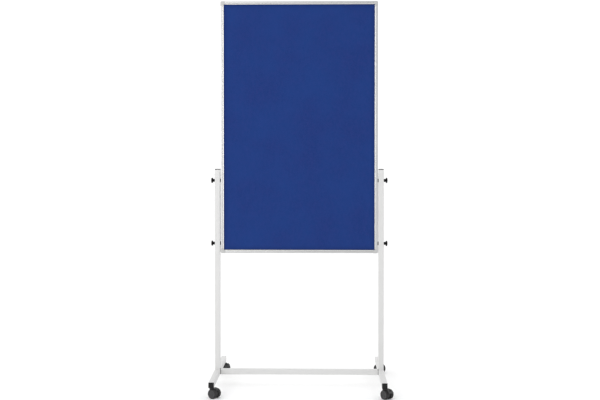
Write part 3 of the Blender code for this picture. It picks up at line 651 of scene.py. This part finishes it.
def make_crossbar_insert(side_name, side):
    """Flanged insert in the crossbar's end, which the bolt passes through."""
    low, high, middle = box("crossbar_insert_" + side_name)
    inner = outermost(low, high, -side).x
    seat = outermost(*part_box("crossbar"), side).x + side * GAP
    face = outermost(low, high, side).x
    outline = rounded_square(high.z - low.z, TUBE_ROUND)
    flange = add("insert_flange_" + side_name, prism(outline, abs(face - seat), 0.0003),
                 cap_plastic, axes(side * Y, Z, side * X, (seat, 0, middle.z)))
    drill_across(flange, face - 0.01, face + 0.01, middle.z, BOLT_HOLE)
    place(flange, "stand", "dark_plastic", "crossbar_insert_" + side_name)
    plug = add("insert_plug_" + side_name, ribbed_plug(abs(seat - inner)), cap_plastic,
               axes(side * Y, Z, side * X, (inner, 0, middle.z)))
    drill_across(plug, inner - 0.05, inner + 0.05, middle.z, BOLT_HOLE)
    place(plug, "stand", "dark_plastic")


def make_crossbar_bolt(side_name, side):
    """Button head with a hex socket, and a threaded shank."""
    low, high, middle = box("crossbar_bolt_" + side_name)
    seat = outermost(*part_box("foot_" + side_name), side).x + side * GAP
    head_height = abs(outermost(low, high, side).x - seat)
    turn = axes(-side * Z, Y, side * X, (seat, 0, middle.z))
    radius = 0.0069
    dome = [(radius * math.sin(a), head_height * (0.12 + 0.88 * math.cos(a)))
            for a in map(math.radians, range(90, 20, -7))]
    profile = [(0, 0), (radius - 0.0004, 0), (radius, 0.0003)] + dome \
        + [(0.0034, head_height), (0, head_height)]
    head = add("bolt_head_" + side_name, lathe(profile, 64), zinc, turn)
    socket = bmesh.new()
    bmesh.ops.create_cone(socket, cap_ends=True, segments=6, radius1=0.0028, radius2=0.0028,
                          depth=0.0050, matrix=turn @ Matrix.Translation((0, 0, head_height)))
    carve(head, socket)
    place(head, "stand", "zinc_steel", "crossbar_bolt_" + side_name)
    length = abs(outermost(low, high, -side).x - seat)
    shank = add("bolt_shank_" + side_name, threaded_rod(length, 0.0039, 0.00125), zinc,
                axes(side * Z, Y, -side * X, (seat, 0, middle.z)))
    place(shank, "stand", "zinc_steel")


def threaded_rod(length, radius, pitch, steps=20):
    """A rod along Z with a helical thread, chamfered at its far end."""
    depth = 0.55 * pitch
    rows = int(length / pitch * 4)
    rings = []
    for i in range(rows + 1):
        height = length * i / rows
        taper = max(0.0, height - (length - 0.0008))
        ring = []
        for k in range(steps):
            angle = 2 * math.pi * k / steps
            phase = (height / pitch + k / steps) % 1.0
            r = radius - depth * abs(2 * phase - 1) - taper
            ring.append((r * math.cos(angle), r * math.sin(angle), height))
        rings.append(ring)
    return skin(rings)


# ===== clamps

LOBES = 7
KNOB_RADIUS = 0.0125
KNOB_VALLEY = 0.0011
KNOB_HUB_LENGTH = 0.0092
KNOB_HUB_RADIUS = 0.0072
KNOB_RIM_SHARE = 0.62           # of the head's thickness, below its dome
KNOB_PLAIN_SHARE = 0.62         # of its radius, inside the lobes


def knob_mesh(length):
    """Lobed head with a domed face and a pressed-in disc, on a turned hub."""
    wide, hub, base = KNOB_RADIUS, KNOB_HUB_RADIUS, KNOB_HUB_LENGTH
    head = length - base
    rim = base + head * KNOB_RIM_SHARE
    dome = length - rim
    profile = [(0, GAP), (0.0060, GAP), (hub - 0.0005, GAP), (hub - 0.0001, GAP + 0.0003),
               (hub, GAP + 0.0008), (hub * 0.97, base * 0.45), (hub * 0.95, base - 0.0018),
               (hub * 0.98, base - 0.0008), (hub * 1.12, base - 0.0002), (wide * 0.74, base),
               (wide * 0.84, base + 0.0002), (wide * 0.93, base + 0.0009),
               (wide * 0.98, base + 0.0020), (wide, base + 0.0034)]
    profile += [(wide * math.sin(a), rim + dome * math.cos(a))
                for a in map(math.radians, range(86, 34, -6))]
    flat = rim + dome * math.cos(math.radians(34))
    rise = length - flat
    profile += [(0.0064, flat), (0.0061, flat - 0.0004), (0.0058, flat - 0.0004),
                (0.0055, flat), (0.0040, flat + 0.7 * rise), (0.0020, flat + 0.95 * rise),
                (0, length)]

    def lobed(radius, height, angle):
        if radius < wide * KNOB_PLAIN_SHARE:
            return radius
        reach = min((radius / wide - KNOB_PLAIN_SHARE) / 0.30, 1.0)
        if height < base + 0.0001:
            reach *= 0.4
        wave = 0.5 - 0.5 * math.cos(LOBES * (angle - math.pi / 2))
        return radius - KNOB_VALLEY * reach * wave ** 1.6

    return lathe(profile, LOBES * 14, lobed)


def make_clamps():
    for side_name, side in SIDES.items():
        for level in LEVELS:
            label = f"{level}_{side_name}"
            node = "knob_" + label
            low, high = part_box(node)
            face, _, height = JOINTS[f"knob_{label}_turn"]["pos_m"]
            length = side * (outermost(low, high, side).x - face)
            knob = add("knob_head_" + label, knob_mesh(length), knob_plastic,
                       axes(-side * Z, Y, side * X, (face, 0, height)))
            place(knob, node, "black_plastic", node)
            reach = side * (face - outermost(low, high, -side).x)
            stud = add("knob_stud_" + label, threaded_rod(reach, 0.0030, 0.0010), zinc,
                       axes(side * Z, Y, -side * X, (face, 0, height)))
            place(stud, node, "zinc_steel")
            make_washer(label)
            make_slot_nut(label)


def make_washer(label):
    """Moulded spacer ring with eased rims and a fine groove."""
    low, high, middle = box("spacer_washer_" + label)
    half = (high.x - low.x) / 2
    outer = (high.z - low.z) / 2
    edge = 0.0003
    profile = [(STUD_HOLE, half - edge), (STUD_HOLE + edge, half), (outer - edge, half),
               (outer, half - edge), (outer, edge), (outer - edge, 0), (outer, -edge),
               (outer, edge - half), (outer - edge, -half), (STUD_HOLE + edge, -half),
               (STUD_HOLE, edge - half), (STUD_HOLE, half - edge)]
    place(add("spacer_ring_" + label, lathe(profile, 64), cap_plastic, axes(-Z, Y, X, middle)),
          "stand", "dark_plastic", "spacer_washer_" + label)


def make_slot_nut(label):
    """Square nut with broken edges and a threaded bore."""
    low, high, middle = box("slot_nut_" + label)
    outline = rounded_square(high.z - low.z, 0.0007, 4)
    nut = add("clamp_nut_" + label, prism(outline, high.x - low.x, 0.0004), zinc,
              axes(Y, Z, X, (low.x, middle.y, middle.z)))
    drill_across(nut, low.x - 0.005, high.x + 0.005, middle.z, STUD_HOLE)
    place(nut, "stand", "zinc_steel", "slot_nut_" + label)


# ===== board

def frame_section():
    """The frame's outline: first coordinate inwards from its outer side, second depth.

    Front half first, then its mirror image, then the T-slot's chamber.
    """
    half = FRAME_DEPTH / 2
    round_edge = 0.0026
    front = [Vector((SLOT_LIP, -SLOT_OPENING / 2)), Vector((0.0002, -SLOT_OPENING / 2)),
             Vector((0.0, -SLOT_OPENING / 2 - 0.0002))]
    front += arc((round_edge, round_edge - half), round_edge, 180, 270, 10)
    front += arc((FRAME_BAND - 0.0004, 0.0004 - half), 0.0004, 270, 350, 4)
    groove = 0.0014 - half
    front += [Vector((FRAME_BAND + 0.0001, groove)), Vector((FRAME_LIP - 0.0001, groove))]
    lip_radius = (FRAME_FACE - FRAME_LIP) / 2
    lip_centre = Vector((FRAME_LIP + lip_radius, 0.0006 - half + lip_radius / 2))
    for point in arc((0, 0), lip_radius, 188, 352, 14):
        front.append(lip_centre + Vector((point.x, point.y / 2)))
    panel = panel_half()
    front += [Vector((FRAME_FACE, -panel)), Vector((PANEL_GROOVE, -panel))]
    chamber = [Vector((SLOT_DEPTH, SLOT_WIDTH / 2)), Vector((SLOT_DEPTH, -SLOT_WIDTH / 2)),
               Vector((SLOT_LIP, -SLOT_WIDTH / 2))]
    rear = [Vector((p.x, -p.y)) for p in reversed(front)]
    return front + rear + [Vector((SLOT_LIP, SLOT_WIDTH / 2))] + chamber


def panel_half():
    """Half the width of the groove that holds the felt, core and back sheet."""
    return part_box("whiteboard_sheet")[1].y + GAP


def make_frame():
    section = frame_section()
    for name, inwards, along in (("left", X, "z"), ("right", -X, "z"), ("bottom", Z, "x"),
                                 ("top", -Z, "x")):
        low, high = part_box("frame_" + name)
        start = Vector((high.x if name == "right" else low.x, 0,
                        high.z if name == "top" else low.z))
        run, length = (X, high.x - low.x) if along == "x" else (Z, high.z - low.z)
        bm = skin([[(*point, height) for point in section] for height in (0, length)])
        member = add("frame_rail_" + name, bm, [drawn[along], lip_highlight[along]],
                     axes(inwards, Y, run, start), math.radians(28))
        paint_lip_highlight(member, inwards, start)
        place(member, "board", "silver_aluminium", "frame_" + name)


def paint_lip_highlight(member, inwards, start):
    """Give the inner bead its own finish: smoother, and lighter as a painted highlight."""
    panel = panel_half() + 0.0002
    for face in member.data.polygons:
        inside = (face.center - start).dot(inwards) > FRAME_LIP - 0.0001
        if inside and abs(face.center.y) > panel and abs(face.normal.y) > 0.02:
            face.material_index = 1


def make_corner_caps():
    for side_name, side in SIDES.items():
        for level_name, level in (("bottom", -1), ("top", 1)):
            make_corner_cap(f"corner_cap_{level_name}_{side_name}", side, level)


def make_corner_cap(node, side, level):
    """L-shaped corner: chamfered, crowned and eased, gripping both rails."""
    low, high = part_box(node)
    depth, far = high.y - low.y, high.x - low.x
    edge = outermost(low, high, side).x
    leg = abs(outermost(*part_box("frame_top"), side).x + side * GAP - edge)
    rail = "frame_right" if side > 0 else "frame_left"
    proud = abs(edge - outermost(*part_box(rail), side).x)
    turn = axes(-side * X, -level * Z, Y, (edge, low.y, outermost(low, high, level).z))
    chamfer = 0.0046
    face = FRAME_FACE + proud
    outline = [(chamfer, 0), (leg, 0), (leg, face), (face, face), (face, leg), (0, leg),
               (0, chamfer)]
    radii = [0.0030, 0.0005, 0.0005, 0.0005, 0.0005, 0.0005, 0.0030]
    cap = add("corner_" + node[len("corner_cap_"):], prism(rounded(outline, radii), depth),
              corner_plastic, turn)
    ease(cap, 0.0007, 60)
    panel = panel_half()
    reach = PANEL_GROOVE + proud
    slot = prism([(reach, reach), (2 * leg, reach), (2 * leg, 2 * leg), (reach, 2 * leg)],
                 2 * panel)
    carve(cap, slot, matrix=turn @ Matrix.Translation((0, 0, depth / 2 - panel)))
    middle = (SLOT_LIP + SLOT_DEPTH) / 2 + proud
    thick = 0.010
    blade = [(PANEL_GROOVE / 2, middle - 0.0020), (far, middle - 0.0014),
             (far, middle + 0.0014), (PANEL_GROOVE / 2, middle + 0.0020)]
    for outline in (blade, [(y, x) for x, y in blade]):
        carve(cap, prism(outline, thick), "UNION",
              turn @ Matrix.Translation((0, 0, (depth - thick) / 2)))
    place(cap, "board", "grey_plastic", node)


def sheet_mesh(low, high, columns, rows, shape):
    """A thin panel as a grid. shape(u, v) gives how far its two faces move in depth."""
    width, height = high.x - low.x, high.z - low.z
    bm = bmesh.new()
    grids = []
    for face, depth in enumerate((low.y, high.y)):
        grids.append([[bm.verts.new((low.x + width * i / columns,
                                     depth + shape(i / columns, j / rows)[face],
                                     low.z + height * j / rows))
                       for i in range(columns + 1)] for j in range(rows + 1)])
    for grid in grids:
        for lower, upper in zip(grid, grid[1:]):
            for i in range(columns):
                bm.faces.new((lower[i], lower[i + 1], upper[i + 1], upper[i]))
    front, back = [grid[0] + [row[-1] for row in grid[1:-1]] + grid[-1][::-1]
                   + [row[0] for row in grid[-2:0:-1]] for grid in grids]
    for i in range(len(front)):
        j = (i + 1) % len(front)
        bm.faces.new((front[i], front[j], back[j], back[i]))
    return bm


def make_panel():
    """Felt in front, writing sheet behind. The core between them is the frame's own."""
    low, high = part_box("felt_sheet")
    width, height = high.x - low.x, high.z - low.z
    hidden = FRAME_FACE - PANEL_GROOVE

    def nap(u, v):
        """Felt sinks where the frame's beads pinch it, and is a little uneven elsewhere."""
        x, z = u * width, v * height
        margin = min(x, width - x, z, height - z)
        pinch = 0.00032 * math.exp(-max(margin - hidden, 0.0) / 0.0035)
        wave = math.sin(37 * x + 3 * math.sin(11 * z)) \
            + math.sin(29 * z + 2 * math.sin(17 * x + 1.3))
        return pinch + 0.00016 + 0.00007 * wave * min(margin / 0.05, 1.0), 0.0

    cloth = add("felt_face", sheet_mesh(low, high, 96, 152, nap), felt)
    place(cloth, "board", "blue_felt", "felt_sheet")
    low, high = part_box("whiteboard_sheet")

    def oil_can(u, v):
        """Thin steel is never quite flat."""
        x, z = u * width, v * height
        wave = math.sin(9 * x + 1.1) * math.sin(7.3 * z) + 0.6 * math.sin(15 * z + 6 * x)
        fade = min(u, 1 - u, v, 1 - v, 0.08) / 0.08
        dip = -0.00008 + 0.00004 * wave * fade
        return dip, dip

    sheet = add("writing_sheet", sheet_mesh(low, high, 48, 76, oil_can), board_enamel)
    place(sheet, "board", "white_lacquer", "whiteboard_sheet")
    core = frame["nodes"]["core_panel"]
    core.data.materials.clear()
    core.data.materials.append(core_fibre)


# ===== casters
# Each caster is built in its own axes: origin on the floor under the swivel,
# X towards the axle, Y along the axle, Z up.

WHEEL_WIDTH = 0.0150
WHEEL_INNER = 0.0074            # from the caster's middle to a wheel
DISC_RADIUS = 0.0183
AXLE_RADIUS = 0.0025
HOOD_HALF = 0.0070
HOOD_RADIUS = 0.0255
WEB_RADIUS = 0.0170
FENDER_HALF = 0.0115
FENDER_INNER = 0.0228
BOSS_RADIUS = 0.0080


def caster_axes(name):
    """The caster's own axes in the row frame, its trail and its axle's height."""
    pivot = Vector(JOINTS[f"caster_{name}_swivel"]["pos_m"])
    wheel = Vector(JOINTS[f"caster_{name}_wheel_inner_spin"]["pos_m"])
    trailing = Vector((wheel.x - pivot.x, wheel.y - pivot.y, 0))
    along = trailing.normalized()
    matrix = axes(along, Z.cross(along), Z, (pivot.x, pivot.y, 0))
    return matrix, trailing.length, wheel.z


def make_casters():
    for name in CASTERS:
        matrix, trail, height = caster_axes(name)
        braked = f"caster_{name}_brake_press" in JOINTS
        make_hood(name, matrix, trail, height, braked)
        make_stem(name, matrix)
        make_axle(name, matrix, trail, height)
        for wheel_name, sign in (("inner", 1), ("outer", -1)):
            make_wheel(name, wheel_name, sign, matrix, trail, height)
        if braked:
            make_pedal(name, matrix)


def make_wheel(name, wheel_name, sign, matrix, trail, height):
    """Soft tread round a dished disc, with a blind bore on the inside."""
    node = f"caster_{name}_wheel_{wheel_name}"
    half = WHEEL_WIDTH / 2
    centre = (trail, sign * (WHEEL_INNER + half), height)
    turn = matrix @ axes(X, -sign * Z, sign * Y, centre)
    shoulder = 0.0024
    outer_round = [(height + shoulder * (math.sin(a) - 1), half + shoulder * (math.cos(a) - 1))
                   for a in map(math.radians, range(0, 91, 10))]
    inner_round = [(r, -h) for r, h in reversed(outer_round)]
    tread_profile = [(DISC_RADIUS + 0.0001, half - 0.0011), (DISC_RADIUS + 0.0003, half)] \
        + outer_round + inner_round \
        + [(DISC_RADIUS + 0.0003, -half), (DISC_RADIUS + 0.0001, 0.0011 - half),
           (DISC_RADIUS + 0.0001, half - 0.0011)]
    tread = add(f"tread_{name}_{wheel_name}", lathe(tread_profile, 72), tread_rubber, turn)
    place(tread, node, "wheel_grey", node)
    floor = half - 0.0014
    bore = AXLE_RADIUS + 0.0002
    disc_profile = [(0, floor - 0.0007), (0.0012, floor - 0.0007), (0.0020, floor - 0.0002),
                    (0.0028, floor + 0.0003), (0.0062, floor + 0.0004), (0.0068, floor + 0.0001),
                    (0.0074, floor - 0.0004), (0.0120, floor - 0.0002), (0.0150, floor + 0.0002),
                    (0.0164, floor + 0.0006), (0.0174, floor + 0.0010), (0.0181, floor + 0.0008),
                    (DISC_RADIUS, floor + 0.0002), (DISC_RADIUS, 0.0012 - half),
                    (0.0176, 0.0008 - half), (0.0166, 0.0014 - half), (0.0160, 0.0070 - half),
                    (0.0080, 0.0070 - half), (0.0066, 0.0064 - half), (0.0062, 0.0004 - half),
                    (0.0058, -half), (bore + 0.0003, -half), (bore, 0.0003 - half),
                    (bore, half - 0.0040), (0, half - 0.0040)]
    mesh = lathe(disc_profile, 72)
    ribs = 6
    for rib in range(ribs):
        spin = Matrix.Rotation(2 * math.pi * (rib + 0.5) / ribs, 4, "Z")
        merge(mesh, prism(rounded_square(0.0092, 0.0003, 3, 0.0014), 0.0042, 0.0002),
              spin @ Matrix.Translation((0.0112, 0, -half + 0.0024)))
    disc = add(f"disc_{name}_{wheel_name}", mesh, disc_plastic, turn)
    place(disc, node, "wheel_grey", node)


def hood_outline(trail, height):
    """Side view of the hood: rear web, fender, swivel boss, front web."""
    centre = (trail, height)
    boss_top = 0.0470
    rear_web = arc(centre, WEB_RADIUS, -60, 34, 20)
    fender = arc(centre, HOOD_RADIUS - 0.0002, 46, 87, 14)
    boss = [Vector((BOSS_RADIUS - 0.0003, boss_top)), Vector((0.0003 - BOSS_RADIUS, boss_top)),
            Vector((0.0003 - BOSS_RADIUS, 0.0384))]
    front_web = arc(centre, HOOD_RADIUS - 0.0027, 158, 196, 10)
    low_web = arc(centre, WEB_RADIUS, 215, 235, 5)
    return rear_web + fender + boss + front_web + low_web


def make_hood(name, matrix, trail, height, braked):
    """One moulding: web between the wheels, fender over them, swivel boss on top."""
    def spread(half, profile):
        return prism(profile, 2 * half - 0.0002), matrix @ axes(X, Z, -Y, (0, half - 0.0001, 0))

    def across(x, z, half, radius):
        return cylinder(matrix @ Vector((x, -half, z)), matrix @ Vector((x, half, z)), radius)

    web, upright = spread(HOOD_HALF, hood_outline(trail, height))
    hood = add("hood_" + name, web, hood_plastic, upright)
    ease(hood, 0.0007, 50)
    centre = (trail, height)
    band = arc(centre, HOOD_RADIUS - 0.0001, 62.3, 117.7, 18) \
        + arc(centre, FENDER_INNER + 0.0001, 117.7, 62.3, 18)
    fender, upright = spread(FENDER_HALF, band)
    carve(hood, fender, "UNION", upright)
    wide = BOSS_RADIUS - 0.0001
    swivel = lathe([(0, 0.0404), (wide - 0.0005, 0.0404), (wide, 0.0410), (wide, 0.0464),
                    (wide - 0.0005, 0.0470), (0, 0.0470)], 48)
    carve(hood, swivel, "UNION", matrix)
    if braked:
        x, z = pedal_place(name, matrix)
        carve(hood, across(x, z, HOOD_HALF - 0.0002, 0.0031), "UNION")
    carve(hood, across(trail, height, 0.02, AXLE_RADIUS + 0.0002))
    stem_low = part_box(f"caster_{name}_stem")[0].z
    drill(hood, matrix @ Vector((0, 0, stem_low - GAP)), matrix @ Vector((0, 0, 0.06)), 0.0042)
    if braked:
        carve(hood, across(x, z, 0.02, 0.0016))
    place(hood, "caster_" + name, "dark_plastic", f"caster_{name}_hood")


def make_stem(name, matrix):
    """Turned swivel stem with a grip groove and a thrust collar."""
    node = f"caster_{name}_stem"
    low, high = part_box(node)
    radius = 0.0040
    collar_low, collar_high = 0.0475, 0.0480
    top, foot, collar, groove = high.z, low.z, 0.0066, radius - 0.0006
    profile = [(0, top), (radius - 0.0009, top), (radius, top - 0.0009), (radius, top - 0.0030),
               (groove, top - 0.0034), (groove, top - 0.0052), (radius, top - 0.0056),
               (radius, collar_high), (collar - 0.0002, collar_high),
               (collar, collar_high - 0.0001), (collar, collar_low + 0.0001),
               (collar - 0.0002, collar_low), (radius, collar_low), (radius, foot + 0.0004),
               (radius - 0.0004, foot), (0, foot)]
    place(add("stem_" + name, lathe(profile, 48), zinc, matrix), "caster_" + name,
          "zinc_steel", node)


def make_axle(name, matrix, trail, height):
    half = WHEEL_INNER + WHEEL_WIDTH - 0.0045
    edge = 0.0004
    knurl = 0.0002
    profile = [(0, half), (AXLE_RADIUS - edge, half), (AXLE_RADIUS, half - edge),
               (AXLE_RADIUS, 0.0040), (AXLE_RADIUS - knurl, 0.0036),
               (AXLE_RADIUS - knurl, -0.0036), (AXLE_RADIUS, -0.0040),
               (AXLE_RADIUS, edge - half), (AXLE_RADIUS - edge, -half), (0, -half)]
    turn = matrix @ axes(X, -Z, Y, (trail, 0, height))
    place(add("axle_" + name, lathe(profile, 40), zinc, turn), "caster_" + name,
          "zinc_steel", f"caster_{name}_axle")


def pedal_place(name, matrix):
    local = matrix.inverted() @ Vector(JOINTS[f"caster_{name}_brake_press"]["pos_m"])
    return local.x, local.z


def make_pedal(name, matrix):
    """Brake pedal: a fork on its pin, a shoe below and a bent toe."""
    body = f"caster_{name}_brake"
    x, z = pedal_place(name, matrix)
    half = 0.0114
    outline = arc((0, 0), 0.0028, 60, 200, 12)
    outline += map(Vector, ((0.0053, -0.0093), (0.0075, -0.0103), (0.0082, -0.0073),
                            (0.0148, -0.0111), (0.0159, -0.0102), (0.0153, -0.0085),
                            (0.0120, -0.0052), (0.0086, -0.0025)))
    pedal = add("pedal_" + name, prism(outline, 2 * half), pedal_plastic,
                matrix @ axes(X, Z, -Y, (x, half, z)))
    ease(pedal, 0.0005, 50)
    low, high = Vector((x - 0.02, -0.0075, z - 0.02)), Vector((x + 0.0090, 0.0075, z + 0.02))
    fork = bmesh.new()
    bmesh.ops.create_cube(fork, size=1.0)
    carve(pedal, fork, matrix=matrix @ Matrix.Translation((low + high) / 2)
          @ Matrix.Diagonal((*(high - low), 1.0)))
    tip, round_end, radius = half - 0.0010, half - 0.0013, 0.0013
    profile = [(0, -tip), (radius - 0.0003, -tip), (radius, -round_end), (radius, round_end),
               (radius - 0.0003, tip), (0, tip)]
    pin = add("pedal_pin_" + name, lathe(profile, 28), zinc, matrix @ axes(X, -Z, Y, (x, 0, z)))
    place(pedal, body, "dark_plastic", f"caster_{name}_brake_pedal")
    place(pin, body, "zinc_steel")


# ===== stage, camera

def make_stage():
    """A pale floor that runs on to a white horizon."""
    bm = bmesh.new()
    bmesh.ops.create_grid(bm, x_segments=8, y_segments=8, size=60.0)
    surface = Surface("floor", Roughness=0.85, Specular_IOR_Level=0.1)
    tone = surface.blend(surface.noise(3, 4), (0.945, 0.945, 0.945), (0.955, 0.955, 0.955), 0, 1)
    surface.link(tone, surface.shader.inputs["Base Color"])
    add("floor", bm, surface.material, Matrix.Translation((0, 0, -0.0002)))
    make_world()


def make_world():
    """A white sweep behind the board (+Y) and a slightly dimmer room in front of it."""
    world = bpy.data.worlds.new("studio")
    bpy.context.scene.world = world
    world.use_nodes = True
    nodes, links = world.node_tree.nodes, world.node_tree.links
    direction = nodes.new("ShaderNodeTexCoord").outputs["Generated"]
    split = nodes.new("ShaderNodeSeparateXYZ")
    ramp = nodes.new("ShaderNodeMapRange")
    ramp.interpolation_type = "SMOOTHSTEP"
    values = {"From Min": -0.55, "From Max": -0.05, "To Min": ROOM_LIGHT, "To Max": SWEEP_LIGHT}
    for socket, value in values.items():
        ramp.inputs[socket].default_value = value
    background = nodes["Background"]
    background.inputs["Color"].default_value = (1.0, 1.0, 1.0, 1.0)
    links.new(direction, split.inputs["Vector"])
    links.new(split.outputs["Y"], ramp.inputs["Value"])
    links.new(ramp.outputs["Result"], background.inputs["Strength"])


def make_light():
    """One large softbox on the front left, which the satin rails pick up."""
    data = bpy.data.lights.new("softbox", "AREA")
    data.energy = 90
    data.shape = "RECTANGLE"
    data.size, data.size_y = 3.2, 2.6
    light = bpy.data.objects.new("softbox", data)
    light.location = (-2.6, -4.6, 1.8)
    aim = Vector((0, 0, 1.1)) - light.location
    light.rotation_euler = aim.to_track_quat("-Z", "Y").to_euler()
    light.visible_camera = False
    bpy.context.scene.collection.objects.link(light)


def make_camera():
    data = bpy.data.cameras.new("camera")
    data.sensor_width = 36.0
    data.lens = 59.94
    data.shift_y = -0.04333     # lens shift, as a share of the picture's width
    data.clip_end = 200.0
    camera = bpy.data.objects.new("camera", data)
    yaw, pitch = math.radians(1.18), math.radians(-1.003)
    camera.location = (0.10202, -4.77406, 1.09210)
    camera.rotation_euler = (math.pi / 2 + pitch, 0, yaw)
    bpy.context.scene.collection.objects.link(camera)
    bpy.context.scene.camera = camera


make_stage()
make_light()
make_camera()
make_posts()
make_feet()
make_crossbar()
make_clamps()
make_frame()
make_corner_caps()
make_panel()
make_casters()
bpy.context.scene.view_settings.view_transform = "Standard"
